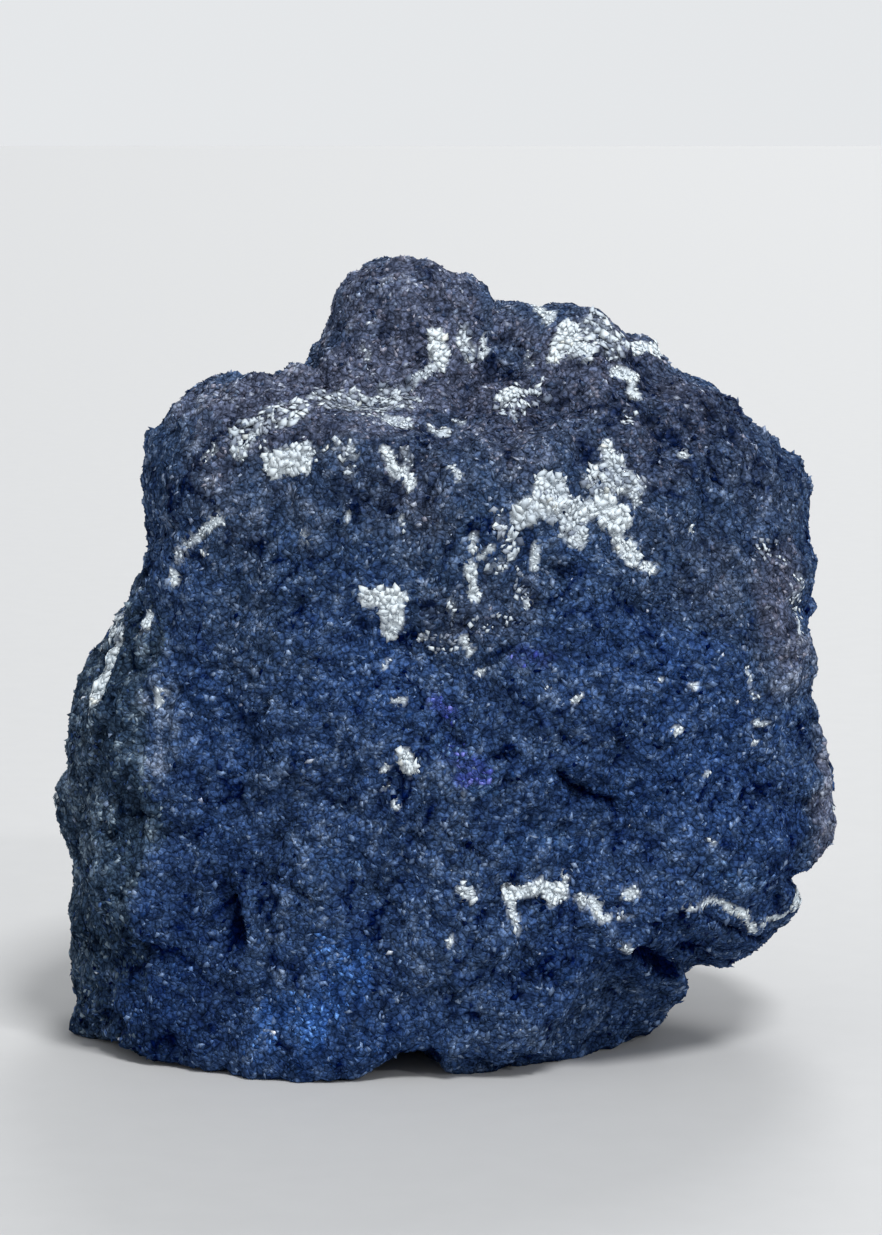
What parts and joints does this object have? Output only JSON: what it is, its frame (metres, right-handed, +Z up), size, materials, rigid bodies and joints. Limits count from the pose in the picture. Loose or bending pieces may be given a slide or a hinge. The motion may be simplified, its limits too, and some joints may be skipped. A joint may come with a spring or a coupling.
{
  "type": "rough covellite mineral specimen",
  "caption": "Rough, unpolished block of dark blue granular covellite with pale mineral crusts, broken on every side and standing on its own flat patches.",
  "frame": {"origin": "on the surface that the stone stands on, under the middle of its box", "axes": "+Z up, -Y out of the widest broken face, +X to the right as that face is looked at"},
  "size_m": [0.0358, 0.0244, 0.0355],
  "materials": {
    "covellite": "rough granular break in dark indigo blue, fine glints on the grains, pale crusts, brownish dust on the top and right"
  },
  "bodies": {
    "root": {"covellite_stone": "covellite"}
  },
  "joints": []
}
